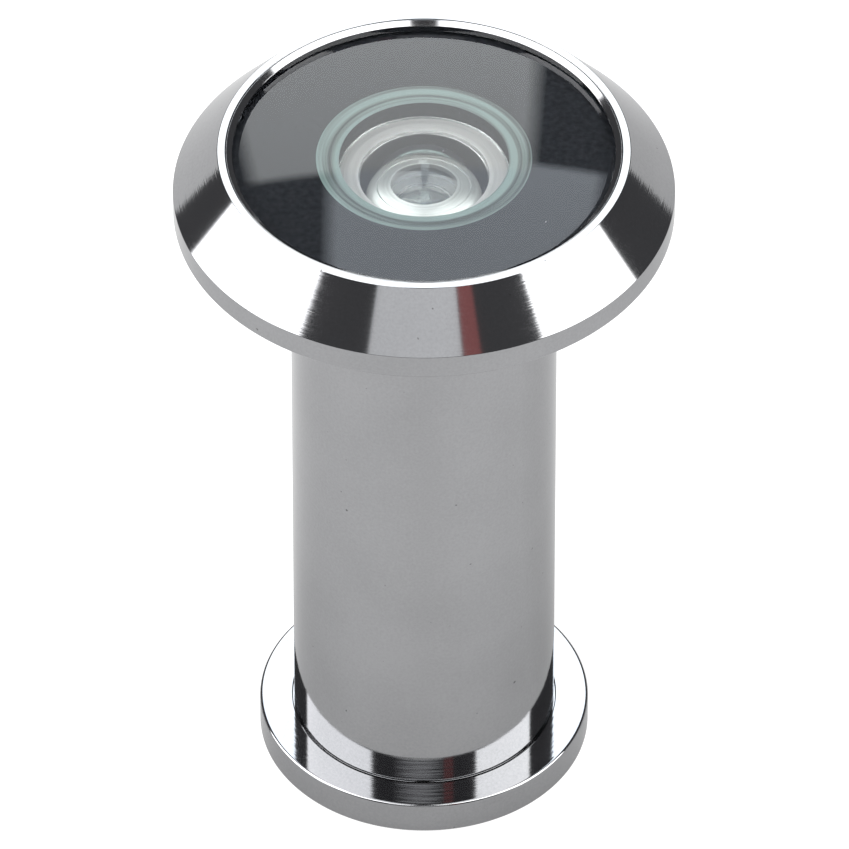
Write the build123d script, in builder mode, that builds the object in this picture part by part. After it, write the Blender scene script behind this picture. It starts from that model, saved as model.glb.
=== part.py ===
from build123d import *
import os

# Door viewer in two halves that screw together through a door.
# Origin: centre of the rear flange's outer face. +Z runs along the light path to the outside lens.
# All sizes in millimetres. The halves are drawn at their closest, for the thinnest door.

# driving dimensions
barrel_radius = 7.0
door_thickness_min = 35.0
flange_radius = 8.85
flange_thickness = 1.9
bezel_radius = 13.1
bezel_rim_height = 1.35
bezel_cone_height = 2.75
bezel_land_radius = 10.76
thread_pitch = 1.0

# clearances
press_gap = 0.02        # between pieces pressed together
turning_gap = 0.05      # between the turning front half and what stays still

# heights along the axis
clamp_z = flange_thickness
bezel_z = clamp_z + door_thickness_min
cone_z = bezel_z + bezel_rim_height
top_z = cone_z + bezel_cone_height

# thread: ridges of trapezoid section, outside the sleeve and inside the barrel
ridge_height = 0.5
ridge_foot = 0.62
ridge_crest = 0.16
ridge_root = 0.04       # how deep a ridge is rooted in its wall
thread_clearance = 0.09
sleeve_root_radius = 5.65
sleeve_thread_z = 3.2
sleeve_thread_turns = 24
barrel_root_radius = sleeve_root_radius + ridge_height + thread_clearance
barrel_thread_z = sleeve_thread_z + thread_pitch / 2
barrel_thread_turns = 7

# rear sleeve
sleeve_top_z = 28.0
sleeve_bore_radius = 4.9
sleeve_mouth_chamfer = 0.3
eye_opening_radius = 3.9
eye_dish_radius = 4.6
eye_dish_depth = 0.5
eye_shoulder_z = 1.1
flange_edge_chamfer = 0.12
seat_recess_radius = barrel_radius + 0.1
seat_recess_depth = 0.15
coin_slot_length = 14.4
coin_slot_width = 1.4
coin_slot_depth = 0.6

# eyepiece, held on the sleeve's shoulder by a split ring in a groove
eye_lens_edge = 0.9
eye_lens_land_radius = 4.4
eye_lens_rise = 1.6
clip_z = eye_shoulder_z + eye_lens_edge
clip_thickness = 0.5
clip_inner_radius = 4.45
clip_outer_radius = 5.08
clip_gap_width = 2.6
groove_radius = 5.1
groove_play = 0.05

# barrel, with a collar that the front pieces stand on
barrel_end_z = clamp_z - seat_recess_depth + turning_gap
barrel_mouth_chamfer = 0.3
neck_radius = 6.8
collar_z = bezel_z + 0.6
collar_radius = 10.2
collar_thickness = 0.5
collar_top_z = collar_z + collar_thickness

# bezel, open above its floor for the glass
pocket_radius = 10.34
bezel_bore_radius = neck_radius + press_gap
bezel_bore_chamfer = 0.28
bezel_edge_chamfer = 0.1

# lens cell: a flanged tube whose flange stands on the collar
cell_flange_z = collar_top_z + turning_gap
cell_flange_radius = 10.1
cell_flange_thickness = 0.5
cell_top_z = cell_flange_z + cell_flange_thickness
cell_bottom_z = 31.9
cell_outer_radius = 6.1
cell_inner_radius = 4.7
cell_mouth_radius = 5.4
cell_mouth_depth = 0.7
cell_lip_radius = 3.2
cell_lip_thickness = 0.6

# front glass, clear in the middle, and what holds it
glass_radius = 10.2
glass_edge_z = top_z - 0.6
glass_back_z = glass_edge_z - 0.4
glass_crown_z = glass_edge_z + 0.6
boss_top_radius = 5.6
boss_radius = 4.4
boss_flank_z = glass_back_z - 0.9
boss_foot_z = glass_back_z - 2.4
hollow_radius = 3.35
hollow_rise = 1.5
seat_inner_radius = 5.9
hold_ring_inner_radius = 9.98
hold_ring_slope = 0.2

# small lenses in the cell, stacked upwards from its lip
stack_radius = cell_inner_radius - press_gap
stop_z = cell_bottom_z + cell_lip_thickness
stop_thickness = 0.3
stop_hole_radius = 3.0
third_z = stop_z + stop_thickness
third_thickness = 1.4
third_hollow_radius = 3.0
third_hollow_depth = 0.4
spacer_z = third_z + third_thickness
spacer_length = 1.3
spacer_inner_radius = 3.3
second_z = spacer_z + spacer_length
second_thickness = 1.2
second_hollow_radius = 2.7
second_hollow_depth = 0.45
cell_ring_z = second_z + second_thickness
cell_ring_height = 0.8
cell_ring_hole_radius = 2.1
cell_ring_step_radii = (3.7, 2.9)
cell_ring_step = 0.12


def half_section(*corners):
    # closed outline through (radius, height) corners, to be turned about the axis
    with BuildSketch(Plane.XZ) as outline:
        with BuildLine():
            Polyline(*corners, close=True)
        make_face()
    return outline.sketch


def ring_section(inner, outer, low, high):
    return half_section((inner, low), (outer, low), (outer, high), (inner, high))


def hollow_lens_section(radius, low, high, hollow_radius, hollow_depth):
    # flat below, with a round hollow sunk in the middle of the upper face
    with BuildSketch(Plane.XZ) as outline:
        with BuildLine():
            Polyline((0, low), (radius, low), (radius, high), (hollow_radius, high))
            TangentArc((0, high - hollow_depth), (hollow_radius, high), tangent=(1, 0))
            Line((0, high - hollow_depth), (0, low))
        make_face()
    return outline.sketch


def thread_path(radius, start_z, turns):
    with BuildLine() as path:
        Helix(thread_pitch, thread_pitch * turns, radius, center=(0, 0, start_z))
    return path.line


def ridge_section(root, tip, start_z):
    # trapezoid across the thread, foot on the root radius and crest on the tip radius
    half_foot = ridge_foot / 2
    half_crest = ridge_crest / 2
    return half_section(
        (root, start_z - half_foot),
        (tip, start_z - half_crest),
        (tip, start_z + half_crest),
        (root, start_z + half_foot),
    )


os.makedirs("parts", exist_ok=True)

# rear half

with BuildPart() as rear_sleeve:
    revolve(
        half_section(
            (eye_dish_radius, 0),
            (flange_radius - flange_edge_chamfer, 0),
            (flange_radius, flange_edge_chamfer),
            (flange_radius, clamp_z - flange_edge_chamfer),
            (flange_radius - flange_edge_chamfer, clamp_z),
            (seat_recess_radius, clamp_z),
            (seat_recess_radius, clamp_z - seat_recess_depth),
            (sleeve_root_radius, clamp_z - seat_recess_depth),
            (sleeve_root_radius, sleeve_top_z - sleeve_mouth_chamfer),
            (sleeve_root_radius - sleeve_mouth_chamfer, sleeve_top_z),
            (sleeve_bore_radius, sleeve_top_z),
            (sleeve_bore_radius, clip_z + clip_thickness + groove_play),
            (groove_radius, clip_z + clip_thickness + groove_play),
            (groove_radius, clip_z - groove_play),
            (sleeve_bore_radius, clip_z - groove_play),
            (sleeve_bore_radius, eye_shoulder_z),
            (eye_opening_radius, eye_shoulder_z),
            (eye_opening_radius, eye_dish_depth),
        ),
        axis=Axis.Z,
    )
    with BuildSketch(Plane.XY):
        SlotOverall(coin_slot_length, coin_slot_width)
    extrude(amount=coin_slot_depth, mode=Mode.SUBTRACT)
    sweep(
        ridge_section(sleeve_root_radius - ridge_root, sleeve_root_radius + ridge_height, sleeve_thread_z),
        path=thread_path(sleeve_root_radius, sleeve_thread_z, sleeve_thread_turns),
        is_frenet=True,
    )
rear_sleeve.part.label = "rear_sleeve"
export_step(rear_sleeve.part, "parts/rear_sleeve.step")

with BuildPart() as eyepiece_lens:
    with BuildSketch(Plane.XZ):
        with BuildLine():
            Polyline(
                (0, eye_shoulder_z),
                (sleeve_bore_radius - press_gap, eye_shoulder_z),
                (sleeve_bore_radius - press_gap, clip_z),
                (eye_lens_land_radius, clip_z),
            )
            TangentArc((0, clip_z + eye_lens_rise), (eye_lens_land_radius, clip_z), tangent=(1, 0))
            Line((0, clip_z + eye_lens_rise), (0, eye_shoulder_z))
        make_face()
    revolve(axis=Axis.Z)
eyepiece_lens.part.label = "eyepiece_lens"
export_step(eyepiece_lens.part, "parts/eyepiece_lens.step")

with BuildPart() as eyepiece_clip:
    with BuildSketch(Plane.XY.offset(clip_z)):
        Circle(clip_outer_radius)
        Circle(clip_inner_radius, mode=Mode.SUBTRACT)
        with Locations((clip_outer_radius, 0)):
            Rectangle(clip_outer_radius, clip_gap_width, mode=Mode.SUBTRACT)
    extrude(amount=clip_thickness)
eyepiece_clip.part.label = "eyepiece_clip"
export_step(eyepiece_clip.part, "parts/eyepiece_clip.step")

# front half, outer metal

with BuildPart() as barrel:
    revolve(
        half_section(
            (barrel_root_radius + barrel_mouth_chamfer, barrel_end_z),
            (barrel_radius, barrel_end_z),
            (barrel_radius, bezel_z),
            (neck_radius, bezel_z),
            (neck_radius, collar_z),
            (collar_radius, collar_z),
            (collar_radius, collar_top_z),
            (barrel_root_radius, collar_top_z),
            (barrel_root_radius, barrel_end_z + barrel_mouth_chamfer),
        ),
        axis=Axis.Z,
    )
    sweep(
        ridge_section(barrel_root_radius + ridge_root, barrel_root_radius - ridge_height, barrel_thread_z),
        path=thread_path(barrel_root_radius, barrel_thread_z, barrel_thread_turns),
        is_frenet=True,
    )
barrel.part.label = "barrel"
export_step(barrel.part, "parts/barrel.step")

with BuildPart() as bezel:
    revolve(
        half_section(
            (bezel_bore_radius + bezel_bore_chamfer, bezel_z),
            (bezel_radius - bezel_edge_chamfer, bezel_z),
            (bezel_radius, bezel_z + bezel_edge_chamfer),
            (bezel_radius, cone_z),
            (bezel_land_radius, top_z),
            (pocket_radius, top_z),
            (pocket_radius, collar_z),
            (bezel_bore_radius, collar_z),
            (bezel_bore_radius, bezel_z + bezel_bore_chamfer),
        ),
        axis=Axis.Z,
    )
bezel.part.label = "bezel"
export_step(bezel.part, "parts/bezel.step")

with BuildPart() as lens_retaining_ring:
    revolve(
        half_section(
            (hold_ring_inner_radius, glass_edge_z + turning_gap),
            (pocket_radius - press_gap, glass_edge_z + turning_gap),
            (pocket_radius - press_gap, top_z),
            (hold_ring_inner_radius, top_z - hold_ring_slope),
        ),
        axis=Axis.Z,
    )
lens_retaining_ring.part.label = "lens_retaining_ring"
export_step(lens_retaining_ring.part, "parts/lens_retaining_ring.step")

# lens stack

with BuildPart() as lens_cell:
    revolve(
        half_section(
            (cell_lip_radius, cell_bottom_z),
            (cell_outer_radius, cell_bottom_z),
            (cell_outer_radius, cell_flange_z),
            (cell_flange_radius, cell_flange_z),
            (cell_flange_radius, cell_top_z),
            (cell_mouth_radius, cell_top_z),
            (cell_inner_radius, cell_top_z - cell_mouth_depth),
            (cell_inner_radius, stop_z),
            (cell_lip_radius, stop_z),
        ),
        axis=Axis.Z,
    )
lens_cell.part.label = "lens_cell"
export_step(lens_cell.part, "parts/lens_cell.step")

with BuildPart() as aperture_stop:
    revolve(ring_section(stop_hole_radius, stack_radius, stop_z, third_z), axis=Axis.Z)
aperture_stop.part.label = "aperture_stop"
export_step(aperture_stop.part, "parts/aperture_stop.step")

with BuildPart() as third_lens:
    revolve(
        hollow_lens_section(stack_radius, third_z, spacer_z, third_hollow_radius, third_hollow_depth),
        axis=Axis.Z,
    )
third_lens.part.label = "third_lens"
export_step(third_lens.part, "parts/third_lens.step")

with BuildPart() as lens_spacer:
    revolve(ring_section(spacer_inner_radius, stack_radius, spacer_z, second_z), axis=Axis.Z)
lens_spacer.part.label = "lens_spacer"
export_step(lens_spacer.part, "parts/lens_spacer.step")

with BuildPart() as second_lens:
    revolve(
        hollow_lens_section(stack_radius, second_z, cell_ring_z, second_hollow_radius, second_hollow_depth),
        axis=Axis.Z,
    )
second_lens.part.label = "second_lens"
export_step(second_lens.part, "parts/second_lens.step")

with BuildPart() as cell_retaining_ring:
    ring_top_z = cell_ring_z + cell_ring_height
    upper_step, lower_step = cell_ring_step_radii
    revolve(
        half_section(
            (cell_ring_hole_radius, cell_ring_z),
            (stack_radius, cell_ring_z),
            (stack_radius, ring_top_z),
            (upper_step, ring_top_z),
            (upper_step, ring_top_z - cell_ring_step),
            (lower_step, ring_top_z - cell_ring_step),
            (lower_step, ring_top_z - 2 * cell_ring_step),
            (cell_ring_hole_radius, ring_top_z - 2 * cell_ring_step),
        ),
        axis=Axis.Z,
    )
cell_retaining_ring.part.label = "cell_retaining_ring"
export_step(cell_retaining_ring.part, "parts/cell_retaining_ring.step")

with BuildPart() as lens_seat_ring:
    revolve(ring_section(seat_inner_radius, glass_radius, cell_top_z, glass_back_z), axis=Axis.Z)
lens_seat_ring.part.label = "lens_seat_ring"
export_step(lens_seat_ring.part, "parts/lens_seat_ring.step")

with BuildPart() as front_lens:
    with BuildSketch(Plane.XZ):
        with BuildLine():
            TangentArc((0, glass_crown_z), (glass_radius, glass_edge_z), tangent=(1, 0))
            Polyline(
                (glass_radius, glass_edge_z),
                (glass_radius, glass_back_z),
                (boss_top_radius, glass_back_z),
                (boss_radius, boss_flank_z),
                (boss_radius, boss_foot_z),
                (hollow_radius, boss_foot_z),
            )
            TangentArc((0, boss_foot_z + hollow_rise), (hollow_radius, boss_foot_z), tangent=(1, 0))
            Line((0, boss_foot_z + hollow_rise), (0, glass_crown_z))
        make_face()
    revolve(axis=Axis.Z)
front_lens.part.label = "front_lens"
export_step(front_lens.part, "parts/front_lens.step")
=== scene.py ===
import bpy
import math
import numpy as np
from mathutils import Matrix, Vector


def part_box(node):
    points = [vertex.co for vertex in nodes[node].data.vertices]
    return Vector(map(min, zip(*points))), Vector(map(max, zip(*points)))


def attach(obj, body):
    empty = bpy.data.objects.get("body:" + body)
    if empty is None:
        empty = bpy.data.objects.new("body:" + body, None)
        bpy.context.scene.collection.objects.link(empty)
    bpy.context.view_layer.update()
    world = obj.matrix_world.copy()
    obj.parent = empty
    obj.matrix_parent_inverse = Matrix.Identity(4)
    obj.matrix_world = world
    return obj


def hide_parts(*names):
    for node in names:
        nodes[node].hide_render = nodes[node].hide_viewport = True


# A door viewer, standing on its rear flange with the wide glass up.
# Metres everywhere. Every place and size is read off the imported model's nodes.

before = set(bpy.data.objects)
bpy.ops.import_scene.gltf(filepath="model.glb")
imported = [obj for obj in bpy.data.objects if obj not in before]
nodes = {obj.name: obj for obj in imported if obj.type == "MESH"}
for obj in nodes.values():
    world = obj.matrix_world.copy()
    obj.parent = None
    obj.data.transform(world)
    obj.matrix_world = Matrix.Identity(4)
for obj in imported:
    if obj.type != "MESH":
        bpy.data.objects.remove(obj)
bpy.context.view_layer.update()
scene = bpy.context.scene
mm = 0.001
same = 0.001 * mm     # radii no further apart than this are the same
close = 0.01 * mm     # a looser same, for places read off different corners
apart = 0.1 * mm      # heights further apart than this belong to different faces
onAxis = 0.05 * mm    # corners nearer the axis than this are at the middle of a lens
print("frame loaded:", len(nodes), "nodes")

cornerCache = {}


def cornersOf(node):
    # (radius, height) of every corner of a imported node, read once
    if node not in cornerCache:
        mesh = nodes[node].data
        co = np.empty(len(mesh.vertices) * 3)
        mesh.vertices.foreach_get("co", co)
        co = co.reshape(-1, 3)
        cornerCache[node] = (np.hypot(co[:, 0], co[:, 1]), co[:, 2])
    return cornerCache[node]


def levels(node, top=math.inf):
    # heights at which a round node has corners, lowest first
    z = cornersOf(node)[1]
    return sorted(set(np.round(z[z < top] / mm, 3) * mm))


def radii(node, low=None, high=None):
    # smallest and largest radius of a round node, between two heights if given
    r, z = cornersOf(node)
    slack = close / 2
    keep = np.ones(len(r), bool)
    if low is not None:
        keep &= z > low - slack
    if high is not None:
        keep &= z < high + slack
    return float(r[keep].min()), float(r[keep].max())


def zSpan(node):
    low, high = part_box(node)
    return low.z, high.z


def widest(node, radius, heights):
    # the heights at which a node reaches out to a radius
    return [z for z in heights if radii(node, z, z)[1] > radius - same]


def softCorners(corners, rounding, steps=4):
    # every corner of a closed (radius, height) outline becomes a small arc, with a guard point on each side
    points = []
    count = len(corners)
    for i in range(count):
        here = np.array(corners[i], float)
        before = np.array(corners[i - 1], float) - here
        after = np.array(corners[(i + 1) % count], float) - here
        lengthA, lengthB = np.linalg.norm(before), np.linalg.norm(after)
        a, b = before / lengthA, after / lengthB
        size = rounding[i] if isinstance(rounding, (list, tuple)) else rounding
        half = math.acos(max(-1, min(1, float(a @ b)))) / 2
        if here[0] < 1e-9 or size <= 0 or half > math.radians(89):
            points.append(tuple(here))
            continue
        reach = min(size / math.tan(half), 0.4 * lengthA, 0.4 * lengthB)
        size = reach * math.tan(half)
        centre = here + (a + b) / np.linalg.norm(a + b) * size / math.sin(half)
        startDir, endDir = here + a * reach - centre, here + b * reach - centre
        sweep = math.pi - 2 * half
        points.append(tuple(here + a * reach * 1.2))
        for k in range(steps + 1):
            t = k / steps
            blend = (math.sin((1 - t) * sweep) * startDir + math.sin(t * sweep) * endDir) / math.sin(sweep)
            points.append(tuple(centre + blend))
        points.append(tuple(here + b * reach * 1.2))
    return points


def dome(crownZ, edgeRadius, edgeZ, count=36):
    # round face from the axis out to its edge, without the last point
    rise = crownZ - edgeZ
    bulge = (edgeRadius ** 2 + rise ** 2) / (2 * abs(rise))
    lean = math.asin(edgeRadius / bulge)
    side = 1 if rise > 0 else -1
    return [(bulge * math.sin(lean * k / count), crownZ - side * bulge * (1 - math.cos(lean * k / count)))
            for k in range(count)]


def turned(name, outline, segments, slots=None, gap=0, crease=None):
    # solid of revolution from a closed (radius, height) outline; points on the axis become poles.
    # slots are the material numbers of the outline's edges, gap is half the angle left open on +X for a
    # split ring, and edges sharper than crease degrees are drawn sharp
    verts, faces, marks, rows = [], [], [], []
    columns = segments + 1 if gap else segments
    step = (2 * math.pi - 2 * gap) / segments
    for r, z in outline:
        if r < 1e-9:
            rows.append([len(verts)])
            verts.append((0, 0, z))
        else:
            rows.append(list(range(len(verts), len(verts) + columns)))
            for k in range(columns):
                verts.append((r * math.cos(gap + step * k), r * math.sin(gap + step * k), z))
    for i in range(len(rows)):
        a, b = rows[i], rows[(i + 1) % len(rows)]
        if len(a) == 1 and len(b) == 1:
            continue
        for k in range(segments):
            n = (k + 1) % columns
            if len(a) == 1:
                faces.append((a[0], b[n], b[k]))
            elif len(b) == 1:
                faces.append((a[k], a[n], b[0]))
            else:
                faces.append((a[k], a[n], b[n], b[k]))
            marks.append(slots[i] if slots else 0)
    if gap:
        faces.append([row[0] for row in rows])
        faces.append([row[-1] for row in rows][::-1])
        marks += [0, 0]
    mesh = bpy.data.meshes.new(name)
    mesh.from_pydata(verts, [], faces)
    mesh.polygons.foreach_set("material_index", marks)
    mesh.polygons.foreach_set("use_smooth", [True] * len(faces))
    if crease:
        mesh.set_sharp_from_angle(angle=math.radians(crease))
    mesh.update()
    piece = bpy.data.objects.new(name, mesh)
    scene.collection.objects.link(piece)
    faceOut(mesh)
    return piece


def faceOut(mesh):
    # turns the faces outwards if the closed mesh came out inside out
    co = np.empty(len(mesh.vertices) * 3)
    mesh.vertices.foreach_get("co", co)
    co = co.reshape(-1, 3)
    mesh.calc_loop_triangles()
    tri = np.empty(len(mesh.loop_triangles) * 3, int)
    mesh.loop_triangles.foreach_get("vertices", tri)
    a, b, c = co[tri.reshape(-1, 3)].transpose(1, 0, 2)
    if np.einsum("ij,ij->i", a, np.cross(b, c)).sum() < 0:
        mesh.flip_normals()


def bakePlain(piece):
    # the evaluated result becomes the piece's own plain mesh, and the modifiers go
    graph = bpy.context.evaluated_depsgraph_get()
    graph.update()
    result = bpy.data.meshes.new_from_object(piece.evaluated_get(graph))
    old = piece.data
    piece.modifiers.clear()
    piece.data = result
    bpy.data.meshes.remove(old)


def finishPiece(piece, body, slot, *materials, stands=()):
    # gives the piece its materials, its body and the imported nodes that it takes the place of
    for material in materials:
        piece.data.materials.append(material)
    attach(piece, body)
    if stands:
        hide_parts(*stands)


def newMaterial(name):
    material = bpy.data.materials.new(name)
    material.use_nodes = True
    tree = material.node_tree
    shader = tree.nodes["Principled BSDF"]
    return material, tree, shader


def link(tree, a, b):
    tree.links.new(a, b)


def mathNode(tree, kind, a, b=None):
    node = tree.nodes.new("ShaderNodeMath")
    node.operation = kind
    for i, value in enumerate((a, b)):
        if value is None:
            continue
        if isinstance(value, (int, float)):
            node.inputs[i].default_value = value
        else:
            link(tree, value, node.inputs[i])
    return node.outputs[0]


def objectPlace(tree):
    # the point on the piece, whole and as x, y and z
    place = tree.nodes.new("ShaderNodeTexCoord").outputs["Object"]
    split = tree.nodes.new("ShaderNodeSeparateXYZ")
    link(tree, place, split.inputs[0])
    return place, *split.outputs


def squareSum(tree, x, y):
    return mathNode(tree, "ADD", mathNode(tree, "MULTIPLY", x, x), mathNode(tree, "MULTIPLY", y, y))


def latheCoords(tree, around, across):
    # a stretched place in which noise follows the tool's path round the axis, and the plain place
    place, x, y, z = objectPlace(tree)
    radius = mathNode(tree, "SQRT", squareSum(tree, x, y))
    join = tree.nodes.new("ShaderNodeCombineXYZ")
    link(tree, mathNode(tree, "MULTIPLY", mathNode(tree, "SUBTRACT", radius, z), across), join.inputs[0])
    link(tree, mathNode(tree, "MULTIPLY", x, around), join.inputs[1])
    link(tree, mathNode(tree, "MULTIPLY", y, around), join.inputs[2])
    return join.outputs[0], place


def noiseNode(tree, vector, scale, detail):
    node = tree.nodes.new("ShaderNodeTexNoise")
    link(tree, vector, node.inputs["Vector"])
    node.inputs["Scale"].default_value = scale
    node.inputs["Detail"].default_value = detail
    return node.outputs["Fac"]


def rampNode(tree, value, stops):
    # a blend from one (position, color) stop to the other
    node = tree.nodes.new("ShaderNodeValToRGB")
    link(tree, value, node.inputs[0])
    for element, (position, color) in zip(node.color_ramp.elements, stops):
        element.position = position
        element.color = (*color, 1)
    return node.outputs[0]


def toned(tint, gain):
    return tuple(c * gain for c in tint)


def bumpNode(tree, height, strength, distance):
    node = tree.nodes.new("ShaderNodeBump")
    node.inputs["Strength"].default_value = strength
    node.inputs["Distance"].default_value = distance
    link(tree, height, node.inputs["Height"])
    return node.outputs[0]


# Noise sizes are waves a metre. A pair such as wornFrom and wornTo gives the noise values between which
# a ramp runs.
chromeLook = {"tint": (0.425, 0.428, 0.436), "roughness": 0.05, "roughnessMore": 0.05,
              "markLong": 260, "markFine": 9000, "markDepth": 0.08, "markHeight": 0.02 * mm,
              "cloudSize": 180, "grainSize": 7000, "wornTone": 0.90, "wornFrom": 0.35, "wornTo": 0.62,
              "speckSize": 2600, "speckFrom": 0.785, "speckTo": 0.81, "speckTint": (0.16, 0.16, 0.16)}


def makeChrome(name, look):
    # plating with fine turning marks, a slightly worn tone and a few dark specks
    material, tree, shader = newMaterial(name)
    shader.inputs["Metallic"].default_value = 1
    around, place = latheCoords(tree, look["markLong"], look["markFine"])
    fine = noiseNode(tree, around, 1.0, 2)
    cloud = noiseNode(tree, place, look["cloudSize"], 3)
    speck = noiseNode(tree, place, look["speckSize"], 1)
    speckMask = rampNode(tree, speck, [(look["speckFrom"], (0, 0, 0)), (look["speckTo"], (1, 1, 1))])
    grain = noiseNode(tree, place, look["grainSize"], 2)
    wear = mathNode(tree, "MULTIPLY", mathNode(tree, "ADD", cloud, grain), 0.5)
    worn = toned(look["tint"], look["wornTone"])
    tone = rampNode(tree, wear, [(look["wornFrom"], worn), (look["wornTo"], look["tint"])])
    mix = tree.nodes.new("ShaderNodeMix")
    mix.data_type = "RGBA"
    link(tree, speckMask, mix.inputs["Factor"])
    link(tree, tone, mix.inputs["A"])
    mix.inputs["B"].default_value = (*look["speckTint"], 1)
    link(tree, mix.outputs["Result"], shader.inputs["Base Color"])
    rough = mathNode(tree, "MULTIPLY_ADD", fine, look["roughnessMore"])
    rough.node.inputs[2].default_value = look["roughness"]
    link(tree, rough, shader.inputs["Roughness"])
    link(tree, bumpNode(tree, fine, look["markDepth"], look["markHeight"]), shader.inputs["Normal"])
    return material


glassLook = {"tint": (0.93, 0.975, 0.96), "ior": 1.52, "dustSize": 2600, "dustFrom": 0.80, "dustTo": 0.84,
             "dustRough": 0.3}


def makeGlass(name, look):
    # polished glass with a little dust on it
    material, tree, shader = newMaterial(name)
    shader.inputs["Base Color"].default_value = (*look["tint"], 1)
    shader.inputs["Transmission Weight"].default_value = 1
    shader.inputs["IOR"].default_value = look["ior"]
    dust = noiseNode(tree, objectPlace(tree)[0], look["dustSize"], 1)
    dusty = (look["dustRough"],) * 3
    rough = rampNode(tree, dust, [(look["dustFrom"], (0, 0, 0)), (look["dustTo"], dusty)])
    link(tree, rough, shader.inputs["Roughness"])
    return material


groundLook = {"tint": (0.30, 0.42, 0.40), "roughness": 0.5, "transmission": 0.2, "ior": 1.52,
              "ringLong": 40, "ringFine": 3200, "ringTone": 0.15, "ringFrom": 0.38, "ringTo": 0.55}
frostLook = {**groundLook, "tint": (0.86, 0.85, 0.84), "transmission": 0.35, "ringFine": 2200,
             "ringTone": 0.75}


def ringedTone(tree, look):
    # a tint with darker rings round the axis, and the rings' own noise
    rings = noiseNode(tree, latheCoords(tree, look["ringLong"], look["ringFine"])[0], 1.0, 3)
    dark = toned(look["tint"], look["ringTone"])
    return rampNode(tree, rings, [(look["ringFrom"], dark), (look["ringTo"], look["tint"])]), rings


def makeGroundGlass(name, look):
    # glass left matt by grinding, with the wheel's rings in it
    material, tree, shader = newMaterial(name)
    link(tree, ringedTone(tree, look)[0], shader.inputs["Base Color"])
    shader.inputs["Transmission Weight"].default_value = look["transmission"]
    shader.inputs["Roughness"].default_value = look["roughness"]
    shader.inputs["IOR"].default_value = look["ior"]
    return material


# The paint behind the glass has no shine of its own, or it would mirror from inside the glass.
# On the boss's side wall the same dark navy paint is a painted reflection of the dark cell that the polished
# wall would mirror.
paintLook = {"tint": (0.030, 0.032, 0.038), "roughness": 0.6, "shine": 0.0, "grainSize": 3000,
             "darkTone": 0.8, "lightTone": 1.3, "grainFrom": 0.3, "grainTo": 0.7, "grainDepth": 0.1,
             "grainHeight": 0.03 * mm}
plasticLook = {**paintLook, "tint": (0.018, 0.018, 0.02), "roughness": 0.55, "shine": 0.5}


def makeBlack(name, look):
    material, tree, shader = newMaterial(name)
    grain = noiseNode(tree, objectPlace(tree)[0], look["grainSize"], 3)
    dark, light = toned(look["tint"], look["darkTone"]), toned(look["tint"], look["lightTone"])
    tone = rampNode(tree, grain, [(look["grainFrom"], dark), (look["grainTo"], light)])
    link(tree, tone, shader.inputs["Base Color"])
    shader.inputs["Roughness"].default_value = look["roughness"]
    shader.inputs["Specular IOR Level"].default_value = look["shine"]
    link(tree, bumpNode(tree, grain, look["grainDepth"], look["grainHeight"]), shader.inputs["Normal"])
    return material


aluminiumLook = {"tint": (0.78, 0.77, 0.76), "roughness": 0.35, "metallic": 0.55, "ringLong": 30,
                 "ringFine": 5200, "ringTone": 0.72, "ringFrom": 0.3, "ringTo": 0.7, "ringDepth": 0.25,
                 "ringHeight": 0.04 * mm}
steelLook = {**aluminiumLook, "tint": (0.42, 0.42, 0.43), "roughness": 0.30, "metallic": 1.0}


def makeTurnedMetal(name, look):
    # bare metal with the lathe's rings left in it
    material, tree, shader = newMaterial(name)
    tone, rings = ringedTone(tree, look)
    link(tree, tone, shader.inputs["Base Color"])
    shader.inputs["Metallic"].default_value = look["metallic"]
    shader.inputs["Roughness"].default_value = look["roughness"]
    link(tree, bumpNode(tree, rings, look["ringDepth"], look["ringHeight"]), shader.inputs["Normal"])
    return material


chrome = makeChrome("polishedChrome", chromeLook)
glass = makeGlass("frontGlass", glassLook)
clearGlass = makeGlass("smallLensGlass", {**glassLook, "tint": (0.97, 0.985, 0.98)})
groundGlass = makeGroundGlass("groundGlassFlank", groundLook)
frostedGlass = makeGroundGlass("groundGlassFoot", frostLook)
backPaintAndDarkReflection = makeBlack("glassBackPaintAndDarkReflection", paintLook)
blackPlastic = makeBlack("blackPlastic", plasticLook)
aluminium = makeTurnedMetal("turnedAluminium", aluminiumLook)
steel = makeTurnedMetal("springSteel", steelLook)
threadMetal = makeChrome("threadChrome", {**chromeLook, "roughness": 0.12, "roughnessMore": 0.12})
print("materials made")

cameraPlace = {"elevation": 42.72, "distance": 0.701, "targetHeight": 21.52 * mm, "side": 0.0265 * mm,
               "lens": 561.0, "sensor": 36, "nearest": 0.01, "furthest": 20}


def makeCamera(place):
    data = bpy.data.cameras.new("camera")
    data.lens = place["lens"]
    data.sensor_width = place["sensor"]
    data.clip_start = place["nearest"]
    data.clip_end = place["furthest"]
    camera = bpy.data.objects.new("camera", data)
    scene.collection.objects.link(camera)
    lean = math.radians(place["elevation"])
    camera.location = (place["side"], -place["distance"] * math.cos(lean),
                       place["targetHeight"] + place["distance"] * math.sin(lean))
    camera.rotation_euler = (math.radians(90) - lean, 0, 0)
    scene.camera = camera


makeCamera(cameraPlace)

# shade and shadeReach size the painted shadow round the viewer's foot; the side and corner values size the
# painted light at both sides and the painted shade in the far corner
floorLook = {"color": (0.20, 0.20, 0.20), "glow": 0.47, "seenGlow": 0.60, "radius": 2.5, "sides": 96,
             "below": 0.03 * mm, "shade": 0.45, "shadeReach": 17 * mm, "paintedSideLight": 0.09, "paintedCornerShade": 0.3,
             "cornerFrom": 0.85, "cornerSpan": 0.56}


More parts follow.
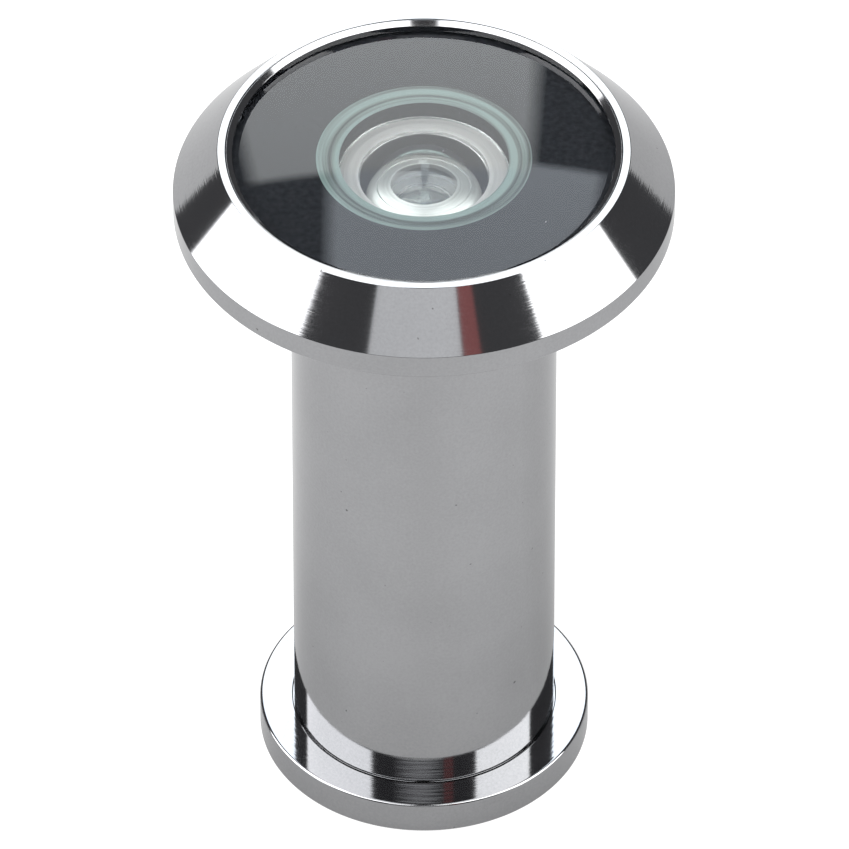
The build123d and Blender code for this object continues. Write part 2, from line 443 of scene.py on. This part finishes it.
def makeFloor(look):
    # a lit white table: mostly its own glow, with a faint soft shadow, and painted shadow and painted light
    # in that glow
    mesh = bpy.data.meshes.new("floor")
    turns = [2 * math.pi * k / look["sides"] for k in range(look["sides"])]
    reach = look["radius"]
    ring = [(reach * math.cos(turn), reach * math.sin(turn), -look["below"]) for turn in turns]
    mesh.from_pydata(ring, [], [tuple(range(look["sides"]))])
    floor = bpy.data.objects.new("floor", mesh)
    scene.collection.objects.link(floor)
    material, tree, shader = newMaterial("floorPaper")
    shader.inputs["Base Color"].default_value = (*look["color"], 1)
    shader.inputs["Roughness"].default_value = 1
    shader.inputs["Specular IOR Level"].default_value = 0
    shader.inputs["Emission Color"].default_value = (1, 1, 1, 1)
    # painted shadow and light: the glow is weaker close to the viewer as a painted shadow round its foot,
    # weaker in one far corner as painted shade, and a little stronger at both sides as painted light
    x, y = objectPlace(tree)[1:3]
    square = squareSum(tree, x, y)
    distance = mathNode(tree, "SQRT", square)
    # painted shadow, deepest at the viewer's foot
    paintedShadow = mathNode(tree, "EXPONENT", mathNode(tree, "DIVIDE", square, -look["shadeReach"] ** 2))
    # painted light towards both sides
    side = mathNode(tree, "DIVIDE", mathNode(tree, "ABSOLUTE", x), distance)
    # painted shade towards the far corner
    corner = mathNode(tree, "DIVIDE", mathNode(tree, "ADD", x, y), distance)
    corner = mathNode(tree, "MAXIMUM", mathNode(tree, "SUBTRACT", corner, look["cornerFrom"]), 0)
    gain = mathNode(tree, "SUBTRACT", 1, mathNode(tree, "MULTIPLY", paintedShadow, look["shade"]))
    gain = mathNode(tree, "ADD", gain, mathNode(tree, "MULTIPLY", side, look["paintedSideLight"]))
    cornerPaintedShade = mathNode(tree, "MULTIPLY", corner, look["paintedCornerShade"] / look["cornerSpan"])
    gain = mathNode(tree, "SUBTRACT", gain, cornerPaintedShade)
    seen = tree.nodes.new("ShaderNodeLightPath").outputs["Is Camera Ray"]
    glow = mathNode(tree, "MULTIPLY", gain, look["glow"])
    extra = mathNode(tree, "MULTIPLY", seen, look["seenGlow"])
    link(tree, mathNode(tree, "ADD", glow, extra), shader.inputs["Emission Strength"])
    # seen from below it lets the view through to the rear face
    under = tree.nodes.new("ShaderNodeNewGeometry").outputs["Backfacing"]
    clear = tree.nodes.new("ShaderNodeBsdfTransparent")
    mix = tree.nodes.new("ShaderNodeMixShader")
    link(tree, under, mix.inputs[0])
    link(tree, shader.outputs[0], mix.inputs[1])
    link(tree, clear.outputs[0], mix.inputs[2])
    link(tree, mix.outputs[0], tree.nodes["Material Output"].inputs["Surface"])
    mesh.materials.append(material)


makeFloor(floorLook)

# Light panels round the viewer. turn is the compass angle from the camera side, positive to its right, and
# height the angle above the floor. wide and tall are half sizes in degrees, edge how crisp the border is.
panels = [
    {"turn": -88, "height": 45, "wide": 28.5, "tall": 41, "edge": 30, "color": (4.0, 4.0, 4.05)},
    {"turn": 78, "height": 45, "wide": 22, "tall": 39, "edge": 60, "color": (4.2, 4.2, 4.2)},
    {"turn": -4, "height": 36, "wide": 17, "tall": 9, "edge": 60, "color": (1.02, 1.03, 1.05)},
    {"turn": 21.5, "height": 36, "wide": 3.4, "tall": 9, "edge": 90, "color": (0.42, 0.16, 0.16)},
    {"turn": 177, "height": 54, "wide": 7.5, "tall": 12, "edge": 60, "color": (2.5, 2.7, 2.95)},
    {"turn": 182.3, "height": 35, "wide": 7.6, "tall": 9, "edge": 60, "color": (2.95, 3.05, 3.1)},
]
roomTone = {"dark": (0.09, 0.09, 0.095), "backdrop": (0.93, 0.93, 0.93)}
panelValues = ("Turn", "Height", "Wide", "Tall", "Edge")


def makePanelGroup():
    # lays one panel over the light so far, where the looked-at direction falls inside it
    group = bpy.data.node_groups.new("lightPanel", "ShaderNodeTree")
    face = group.interface
    face.new_socket("Direction", in_out="INPUT", socket_type="NodeSocketVector")
    face.new_socket("Under", in_out="INPUT", socket_type="NodeSocketColor")
    face.new_socket("Color", in_out="INPUT", socket_type="NodeSocketColor")
    for name in panelValues:
        face.new_socket(name, in_out="INPUT", socket_type="NodeSocketFloat")
    face.new_socket("Light", in_out="OUTPUT", socket_type="NodeSocketColor")
    start = group.nodes.new("NodeGroupInput").outputs
    end = group.nodes.new("NodeGroupOutput").inputs
    vector = start["Direction"]
    for axis, name, sign in (("Z_AXIS", "Turn", -1), ("X_AXIS", "Height", 1)):
        spin = group.nodes.new("ShaderNodeVectorRotate")
        spin.rotation_type = axis
        link(group, vector, spin.inputs["Vector"])
        link(group, mathNode(group, "MULTIPLY", start[name], sign * math.pi / 180), spin.inputs["Angle"])
        vector = spin.outputs[0]
    split = group.nodes.new("ShaderNodeSeparateXYZ")
    link(group, vector, split.inputs[0])
    x, y, z = split.outputs
    ahead = mathNode(group, "MULTIPLY", y, -1)
    least = 0.001    # how far ahead a direction must point to see the panel
    safe = mathNode(group, "MAXIMUM", ahead, least)
    mask = mathNode(group, "GREATER_THAN", ahead, least)
    for value, size in ((x, start["Wide"]), (z, start["Tall"])):
        slope = mathNode(group, "DIVIDE", mathNode(group, "ABSOLUTE", value), safe)
        limit = mathNode(group, "TANGENT", mathNode(group, "MULTIPLY", size, math.pi / 180))
        inside = mathNode(group, "MULTIPLY", mathNode(group, "SUBTRACT", limit, slope), start["Edge"])
        clipped = mathNode(group, "MINIMUM", mathNode(group, "MAXIMUM", inside, 0), 1)
        mask = mathNode(group, "MULTIPLY", mask, clipped)
    mix = group.nodes.new("ShaderNodeMix")
    mix.data_type = "RGBA"
    link(group, mask, mix.inputs["Factor"])
    link(group, start["Under"], mix.inputs["A"])
    link(group, start["Color"], mix.inputs["B"])
    link(group, mix.outputs["Result"], end["Light"])
    return group


def makeWorld(boxes, tone):
    # the panels over a dark room, and a plain backdrop where the camera looks straight at it
    world = bpy.data.worlds.new("studio")
    scene.world = world
    world.use_nodes = True
    tree = world.node_tree
    background = tree.nodes["Background"]
    direction = tree.nodes.new("ShaderNodeTexCoord").outputs["Generated"]
    group = makePanelGroup()
    light = None
    for box in boxes:
        node = tree.nodes.new("ShaderNodeGroup")
        node.node_tree = group
        link(tree, direction, node.inputs["Direction"])
        if light is None:
            node.inputs["Under"].default_value = (*tone["dark"], 1)
        else:
            link(tree, light, node.inputs["Under"])
        node.inputs["Color"].default_value = (*box["color"], 1)
        for name in panelValues:
            node.inputs[name].default_value = box[name.lower()]
        light = node.outputs["Light"]
    path = tree.nodes.new("ShaderNodeLightPath")
    mix = tree.nodes.new("ShaderNodeMix")
    mix.data_type = "RGBA"
    link(tree, path.outputs["Is Camera Ray"], mix.inputs["Factor"])
    link(tree, light, mix.inputs["A"])
    mix.inputs["B"].default_value = (*tone["backdrop"], 1)
    link(tree, mix.outputs["Result"], background.inputs["Color"])


makeWorld(panels, roomTone)
scene.view_settings.view_transform = "Standard"
print("camera, floor and light set")

bezelShape = {"edgeRound": 0.10 * mm, "coneFoot": 0.06 * mm, "coneTop": 0.05 * mm, "fineRound": 0.03 * mm,
              "segments": 384}


def makeBezel(shape):
    inner, outer = radii("bezel")
    low, high = zSpan("bezel")
    heights = levels("bezel")
    coneFoot = widest("bezel", outer, heights)[-1]
    bore = [z for z in heights if radii("bezel", z, z)[0] < inner + same]
    boreTop, pocketFloor = bore[0], bore[-1]
    pocket, land = radii("bezel", high)
    foot = radii("bezel", low, low)[0]
    corners = [(inner, boreTop), (foot, low), (outer, low), (outer, coneFoot), (land, high), (pocket, high),
               (pocket, pocketFloor), (inner, pocketFloor)]
    edge, fine = shape["edgeRound"], shape["fineRound"]
    rounding = [edge, fine, edge, shape["coneFoot"], shape["coneTop"], fine, edge, edge]
    piece = turned("bezelHead", softCorners(corners, rounding), shape["segments"])
    finishPiece(piece, "front_shell", "chrome", chrome, stands=["bezel"])


makeBezel(bezelShape)

barrelShape = {"edgeRound": 0.12 * mm, "mouthRound": 0.05 * mm, "fineRound": 0.03 * mm, "mouthCone": 0.3 * mm,
               "neckPlay": 0.02 * mm, "segments": 320}


def barrelBore():
    # root radius of the thread inside the barrel, read above the thread
    return radii("barrel", zSpan("barrel")[1])[0]


def makeBarrel(shape):
    low, high = zSpan("barrel")
    collar = radii("barrel", high)[1]
    wall = radii("barrel", low, low)[1]
    bore = barrelBore()
    collarLow = [z for z in levels("barrel") if z < high - apart][-1]
    shoulder = zSpan("bezel")[0]
    neck = radii("bezel")[0] - shape["neckPlay"]
    cone = shape["mouthCone"]
    corners = [(bore, low + cone), (bore + cone, low), (wall, low), (wall, shoulder), (neck, shoulder),
               (neck, collarLow), (collar, collarLow), (collar, high), (bore, high)]
    edge, fine = shape["edgeRound"], shape["fineRound"]
    rounding = [fine, shape["mouthRound"], edge, fine, 0, 0, edge, edge, edge]
    piece = turned("barrelTube", softCorners(corners, rounding), shape["segments"])
    finishPiece(piece, "front_shell", "chrome", chrome, stands=["barrel"])


makeBarrel(barrelShape)

holdRingShape = {"round": 0.03 * mm, "segments": 384}


def makeHoldRing(shape):
    inner, outer = radii("lens_retaining_ring")
    low, high = zSpan("lens_retaining_ring")
    slope = [z for z in levels("lens_retaining_ring") if z < high - close][-1]
    corners = [(inner, low), (outer, low), (outer, high), (inner, slope)]
    piece = turned("lensHoldRing", softCorners(corners, shape["round"]), shape["segments"])
    finishPiece(piece, "front_shell", "chrome", chrome, stands=["lens_retaining_ring"])


makeHoldRing(holdRingShape)

# the zones are the heights between which the flange's, the eye dish's and the slot's corners are looked for
sleeveShape = {"edgeRound": 0.13 * mm, "seatRound": 0.03 * mm, "mouthCone": 0.3 * mm,
               "groovePlay": 0.05 * mm, "grooveGap": 0.02 * mm, "flangeZone": 2.2 * mm,
               "flangeSlope": 0.3 * mm, "dishZone": (0.3 * mm, 1.2 * mm), "slotZone": (0.3 * mm, 1 * mm),
               "slotMargin": 0.5 * mm, "slotSteps": 24, "slotUnder": 1 * mm, "slotCrease": 35,
               "segments": 320}


def cutSlot(piece, length, width, depth, shape):
    # a coin slot with round ends across the rear face, along X
    steps = shape["slotSteps"]
    outline = []
    reach = length / 2 - width / 2
    for side in (1, -1):
        for k in range(steps + 1):
            turn = math.pi * k / steps - math.pi / 2
            outline.append((side * (reach + width / 2 * math.cos(turn)), side * width / 2 * math.sin(turn)))
    count = len(outline)
    verts = [(x, y, z) for z in (-shape["slotUnder"], depth) for x, y in outline]
    faces = [tuple(range(count))[::-1], tuple(range(count, 2 * count))]
    faces += [(k, (k + 1) % count, count + (k + 1) % count, count + k) for k in range(count)]
    mesh = bpy.data.meshes.new("slotCutter")
    mesh.from_pydata(verts, [], faces)
    cutter = bpy.data.objects.new("slotCutter", mesh)
    scene.collection.objects.link(cutter)
    cut = piece.modifiers.new("slot", "BOOLEAN")
    cut.object = cutter
    cut.solver = "EXACT"
    bakePlain(piece)
    bpy.data.objects.remove(cutter)
    piece.data.set_sharp_from_angle(angle=math.radians(shape["slotCrease"]))


def slotSize(flange, eyeDish, shape):
    # length, width and depth of the slot, off the corners between the dish and the flange's edge
    lowest, highest = shape["slotZone"]
    nearest, furthest = eyeDish + shape["slotMargin"], flange - shape["slotMargin"]
    marks = [v.co for v in nodes["rear_sleeve"].data.vertices
             if lowest < v.co.z < highest and nearest < math.hypot(v.co.x, v.co.y) < furthest]
    return 2 * max(abs(v.x) for v in marks), 2 * max(abs(v.y) for v in marks), max(v.z for v in marks)


def makeSleeve(shape):
    low, high = zSpan("rear_sleeve")
    heights = levels("rear_sleeve", top=shape["flangeZone"])
    flange = radii("rear_sleeve")[1]
    flangeTop = [z for z in heights if radii("rear_sleeve", z, z)[1] > flange - shape["flangeSlope"]][-1]
    recess = radii("rear_sleeve", flangeTop, flangeTop)[0]
    recessFloor = [z for z in heights if z < flangeTop - apart
                   and abs(radii("rear_sleeve", z, z)[1] - recess) < close][-1]
    root = radii("rear_sleeve", recessFloor, recessFloor)[0]
    dishLow, dishHigh = shape["dishZone"]
    eyeOpening = radii("rear_sleeve", low + dishLow, low + dishHigh)[0]
    eyeDish = radii("rear_sleeve", low, low)[0]
    dishTop = [z for z in heights if abs(radii("rear_sleeve", z, z)[0] - eyeOpening) < close]
    clipLow, clipHigh = zSpan("eyepiece_clip")
    bore = radii("rear_sleeve", high, high)[0]
    groove = radii("eyepiece_clip")[1] + shape["grooveGap"]
    cone, play = shape["mouthCone"], shape["groovePlay"]
    edge, seat = shape["edgeRound"], shape["seatRound"]
    corners = [(eyeDish, low, seat), (flange, low, edge), (flange, flangeTop, edge),
               (recess, flangeTop, seat), (recess, recessFloor, seat), (root, recessFloor, seat),
               (root, high - cone, seat), (root - cone, high, seat), (bore, high, seat),
               (bore, clipHigh + play, seat), (groove, clipHigh + play, 0), (groove, clipLow - play, 0),
               (bore, clipLow - play, seat), (bore, dishTop[-1], 0), (eyeOpening, dishTop[-1], seat),
               (eyeOpening, dishTop[0], seat)]
    outline = softCorners([(r, z) for r, z, size in corners], [size for r, z, size in corners])
    piece = turned("rearSleeve", outline, shape["segments"])
    cutSlot(piece, *slotSize(flange, eyeDish, shape), shape)
    finishPiece(piece, "rear_half", "chrome", chrome, stands=["rear_sleeve"])


makeSleeve(sleeveShape)
print("head, barrel and sleeve made")

threadShape = {"foot": 0.62 * mm, "crest": 0.16 * mm, "rooted": 0.04 * mm, "pitch": 1 * mm, "runOut": 0.6,
               "leastScale": 0.05, "tallest": 1 * mm, "aboveFlange": 2.4 * mm, "stepsPerTurn": 96,
               "crease": 30}


def threadTree(name, leastScale):
    # a helical ridge of trapezoid section that rises out of its wall over the first and last part of a turn
    tree = bpy.data.node_groups.new(name, "GeometryNodeTree")
    face = tree.interface
    face.new_socket("Geometry", in_out="INPUT", socket_type="NodeSocketGeometry")
    for label in ("Turns", "Radius", "Length", "Half Foot", "Half Crest", "Depth", "Run Out"):
        face.new_socket(label, in_out="INPUT", socket_type="NodeSocketFloat")
    face.new_socket("Steps", in_out="INPUT", socket_type="NodeSocketInt")
    face.new_socket("Metal", in_out="INPUT", socket_type="NodeSocketMaterial")
    face.new_socket("Geometry", in_out="OUTPUT", socket_type="NodeSocketGeometry")
    start = tree.nodes.new("NodeGroupInput").outputs
    spiral = tree.nodes.new("GeometryNodeCurveSpiral")
    spiral.inputs["Reverse"].default_value = True
    for label, source in (("Resolution", "Steps"), ("Rotations", "Turns"), ("Start Radius", "Radius"),
                          ("End Radius", "Radius"), ("Height", "Length")):
        link(tree, start[source], spiral.inputs[label])
    upright = tree.nodes.new("GeometryNodeSetCurveNormal")
    upright.mode = "Z_UP"
    link(tree, spiral.outputs["Curve"], upright.inputs["Curve"])
    section = tree.nodes.new("GeometryNodeCurvePrimitiveQuadrilateral")
    section.mode = "POINTS"
    corners = (("Half Foot", -1, False), ("Half Foot", 1, False),
               ("Half Crest", 1, True), ("Half Crest", -1, True))
    for i, (half, side, onCrest) in enumerate(corners):
        corner = tree.nodes.new("ShaderNodeCombineXYZ")
        link(tree, mathNode(tree, "MULTIPLY", start[half], side), corner.inputs["Y"])
        if onCrest:
            link(tree, start["Depth"], corner.inputs["X"])
        link(tree, corner.outputs[0], section.inputs["Point " + str(i + 1)])
    along = tree.nodes.new("GeometryNodeSplineParameter").outputs["Factor"]
    nearest = mathNode(tree, "MINIMUM", along, mathNode(tree, "SUBTRACT", 1, along))
    turnsIn = mathNode(tree, "MULTIPLY", nearest, start["Turns"])
    growth = mathNode(tree, "MINIMUM", mathNode(tree, "DIVIDE", turnsIn, start["Run Out"]), 1)
    ridge = tree.nodes.new("GeometryNodeCurveToMesh")
    ridge.inputs["Fill Caps"].default_value = True
    link(tree, upright.outputs["Curve"], ridge.inputs["Curve"])
    link(tree, section.outputs["Curve"], ridge.inputs["Profile Curve"])
    link(tree, mathNode(tree, "MAXIMUM", growth, leastScale), ridge.inputs["Scale"])
    whole = tree.nodes.new("GeometryNodeRealizeInstances")
    link(tree, ridge.outputs["Mesh"], whole.inputs["Geometry"])
    painted = tree.nodes.new("GeometryNodeSetMaterial")
    link(tree, whole.outputs["Geometry"], painted.inputs["Geometry"])
    link(tree, start["Metal"], painted.inputs["Material"])
    link(tree, painted.outputs["Geometry"], tree.nodes.new("NodeGroupOutput").inputs["Geometry"])
    return tree


def makeThread(name, node, body, root, outward, shape):
    # the ridge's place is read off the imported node: its crest lies furthest from the root wall
    reach = [((math.hypot(v.co.x, v.co.y) - root) * outward, v.co.z) for v in nodes[node].data.vertices]
    reach = [(r, z) for r, z in reach if 0 < r < shape["tallest"] and z > shape["aboveFlange"]]
    depth = max(r for r, z in reach)
    crestZ = [z for r, z in reach if r > depth - 2 * close]
    startZ = min(crestZ) + shape["crest"] / 2
    turns = round((max(crestZ) - min(crestZ) - shape["crest"]) / shape["pitch"])
    wall = root - outward * shape["rooted"]
    mesh = bpy.data.meshes.new(name)
    piece = bpy.data.objects.new(name, mesh)
    scene.collection.objects.link(piece)
    tree = threadTree(name + "Tree", shape["leastScale"])
    modifier = piece.modifiers.new("thread", "NODES")
    modifier.node_group = tree
    values = {"Turns": float(turns), "Radius": wall, "Length": turns * shape["pitch"],
              "Half Foot": shape["foot"] / 2, "Half Crest": shape["crest"] / 2,
              "Depth": outward * (depth + shape["rooted"]), "Run Out": shape["runOut"],
              "Steps": shape["stepsPerTurn"], "Metal": threadMetal}
    for item in tree.interface.items_tree:
        if item.in_out == "INPUT" and item.name in values:
            modifier[item.identifier] = values[item.name]
    bakePlain(piece)
    piece.data.transform(Matrix.Translation((0, 0, startZ)))
    piece.data.set_sharp_from_angle(angle=math.radians(shape["crease"]))
    faceOut(piece.data)
    finishPiece(piece, body, "chrome")
    print(name, "turns", turns, "from", round(startZ / mm, 2), "mm")


mouthFoot = zSpan("rear_sleeve")[1] - sleeveShape["mouthCone"]
sleeveRoot = radii("rear_sleeve", mouthFoot - close, mouthFoot + close)[1]
makeThread("sleeveThread", "rear_sleeve", "rear_half", sleeveRoot, 1, threadShape)
makeThread("barrelThread", "barrel", "front_shell", barrelBore(), -1, threadShape)
print("threads made")

eyepieceShape = {"edgeRound": 0.06 * mm, "crease": 30, "segments": 192}


def makeEyepiece(shape):
    # flat towards the eye, domed towards the light
    low, crown = zSpan("eyepiece_lens")
    outer = radii("eyepiece_lens")[1]
    landZ = widest("eyepiece_lens", outer, levels("eyepiece_lens"))[-1]
    land = radii("eyepiece_lens", landZ, landZ)[0]
    edge = shape["edgeRound"]
    rim = softCorners([(0, low), (outer, low), (outer, landZ), (land, landZ)], [0, edge, edge, 0])
    outline = rim + dome(crown, land, landZ)[::-1]
    piece = turned("eyeLens", outline, shape["segments"], crease=shape["crease"])
    finishPiece(piece, "rear_half", "clear_glass", clearGlass, stands=["eyepiece_lens"])


makeEyepiece(eyepieceShape)

clipShape = {"round": 0.08 * mm, "crease": 50, "segments": 160}


def makeClip(shape):
    inner, outer = radii("eyepiece_clip")
    low, high = zSpan("eyepiece_clip")
    gapSide = min(abs(v.co.y) for v in nodes["eyepiece_clip"].data.vertices if v.co.x > 0)
    outline = softCorners([(inner, low), (outer, low), (outer, high), (inner, high)], shape["round"])
    halfGap = math.asin(gapSide / outer)
    piece = turned("eyeClip", outline, shape["segments"], gap=halfGap, crease=shape["crease"])
    finishPiece(piece, "rear_half", "spring_steel", steel, stands=["eyepiece_clip"])


makeClip(clipShape)
print("eyepiece made")

ringShape = {"round": 0.04 * mm, "stepRound": 0.03 * mm, "segments": 224}


def makeRing(name, node, slot, material, shape):
    # a plain ring: spacer, stop or seat
    inner, outer = radii(node)
    low, high = zSpan(node)
    outline = softCorners([(inner, low), (outer, low), (outer, high), (inner, high)], shape["round"])
    piece = turned(name, outline, shape["segments"])
    finishPiece(piece, "lens_stack", slot, material, stands=[node])


makeRing("stopDisc", "aperture_stop", "black_plastic", blackPlastic, ringShape)
makeRing("spacerTube", "lens_spacer", "bare_aluminium", aluminium, ringShape)
makeRing("seatRing", "lens_seat_ring", "black_plastic", blackPlastic, ringShape)


def makeSteppedRing(shape):
    # the ring that closes the cell: its face steps down towards the hole
    inner, outer = radii("cell_retaining_ring")
    low, high = zSpan("cell_retaining_ring")
    steps = [z for z in levels("cell_retaining_ring") if z > low + apart]
    corners = [(inner, low), (outer, low), (outer, high)]
    for above, below in zip(steps[::-1], steps[-2::-1]):
        edge = radii("cell_retaining_ring", above, above)[0]
        corners += [(edge, above), (edge, below)]
    corners.append((inner, steps[0]))
    piece = turned("cellRing", softCorners(corners, shape["stepRound"]), shape["segments"])
    finishPiece(piece, "lens_stack", "bare_aluminium", aluminium, stands=["cell_retaining_ring"])


makeSteppedRing(ringShape)

cellShape = {"round": 0.05 * mm, "stackGap": 0.02 * mm, "boreLeast": 1 * mm, "segments": 256}


def makeCell(shape):
    low, high = zSpan("lens_cell")
    flange = radii("lens_cell")[1]
    heights = levels("lens_cell")
    flangeLow = widest("lens_cell", flange, heights)[0]
    mouth = radii("lens_cell", high, high)[0]
    lip, tube = radii("lens_cell", low, low)
    inner = radii("aperture_stop")[1] + shape["stackGap"]
    lipTop = zSpan("aperture_stop")[0]
    mouthFoot = [z for z in heights if lipTop + shape["boreLeast"] < z < flangeLow][-1]
    corners = [(lip, low), (tube, low), (tube, flangeLow), (flange, flangeLow), (flange, high), (mouth, high),
               (inner, mouthFoot), (inner, lipTop), (lip, lipTop)]
    piece = turned("cellTube", softCorners(corners, shape["round"]), shape["segments"])
    finishPiece(piece, "lens_stack", "bare_aluminium", aluminium, stands=["lens_cell"])


makeCell(cellShape)

smallLensShape = {"edgeRound": 0.06 * mm, "crease": 30, "segments": 192}


def makeSmallLens(name, node, shape):
    # flat below, with a polished hollow in the middle of the upper face
    low, high = zSpan(node)
    outer = radii(node)[1]
    hollow = radii(node, high, high)[0]
    bottom = min(v.co.z for v in nodes[node].data.vertices
                 if math.hypot(v.co.x, v.co.y) < onAxis and v.co.z > low + apart)
    edge = shape["edgeRound"]
    rim = softCorners([(0, low), (outer, low), (outer, high), (hollow, high)], [0, edge, edge, 0])
    outline = rim + dome(bottom, hollow, high)[::-1]
    piece = turned(name, outline, shape["segments"], crease=shape["crease"])
    finishPiece(piece, "lens_stack", "clear_glass", clearGlass, stands=[node])


makeSmallLens("thirdLensGlass", "third_lens", smallLensShape)
makeSmallLens("secondLensGlass", "second_lens", smallLensShape)
print("lens cell made")

frontGlassShape = {"edgeRound": 0.05 * mm, "footRound": 0.12 * mm, "airGap": 0.01 * mm, "crease": 30,
                   "segments": 256}
polished, painted, ground, frosted = range(4)    # the front glass's materials, in the order it is given them


def makeFrontGlass(shape):
    # domed disc, painted behind outside a ground boss whose foot has a polished hollow in it; the boss's side
    # wall carries the same dark paint as a painted dark reflection
    radius = radii("front_lens")[1]
    low, crown = zSpan("front_lens")
    heights = levels("front_lens")
    edgeRows = widest("front_lens", radius, heights)
    back, edge = edgeRows[0], edgeRows[-1]
    hollowRadius, boss = radii("front_lens", low, low)
    bossTop = radii("front_lens", back, back)[0]
    flankFoot = widest("front_lens", boss, [z for z in heights if z < back - apart])[-1]
    hollowCrown = max(v.co.z for v in nodes["front_lens"].data.vertices
                      if math.hypot(v.co.x, v.co.y) < onAxis and v.co.z < back)
    lift = back + shape["airGap"]
    corners = [(radius, edge), (radius, lift), (bossTop, lift), (boss, flankFoot), (boss, low),
               (hollowRadius, low)]
    rim = softCorners(corners, [shape["edgeRound"], shape["edgeRound"], 0, 0, shape["footRound"], 0])
    outline = dome(crown, radius, edge) + rim + dome(hollowCrown, hollowRadius, low)[::-1]
    slots = []
    for i, here in enumerate(outline):
        there = outline[(i + 1) % len(outline)]
        r, z = (here[0] + there[0]) / 2, (here[1] + there[1]) / 2
        if r > bossTop and abs(z - lift) < 2 * same:
            slots.append(painted)
        elif r > boss + same and flankFoot < z < lift:
            slots.append(ground)
        elif z < low + 2 * same and r > hollowRadius:
            slots.append(frosted)
        # painted reflection: the boss's side wall is painted dark where the polished glass would mirror the
        # dark inside of the cell
        elif r > boss - same and low + apart < z < flankFoot:
            slots.append(painted)
        else:
            slots.append(polished)
    piece = turned("frontGlassDisc", outline, shape["segments"], slots, crease=shape["crease"])
    finishPiece(piece, "lens_stack", "front_glass", glass, backPaintAndDarkReflection, groundGlass, frostedGlass,
                stands=["front_lens"])


makeFrontGlass(frontGlassShape)
print("front glass made")
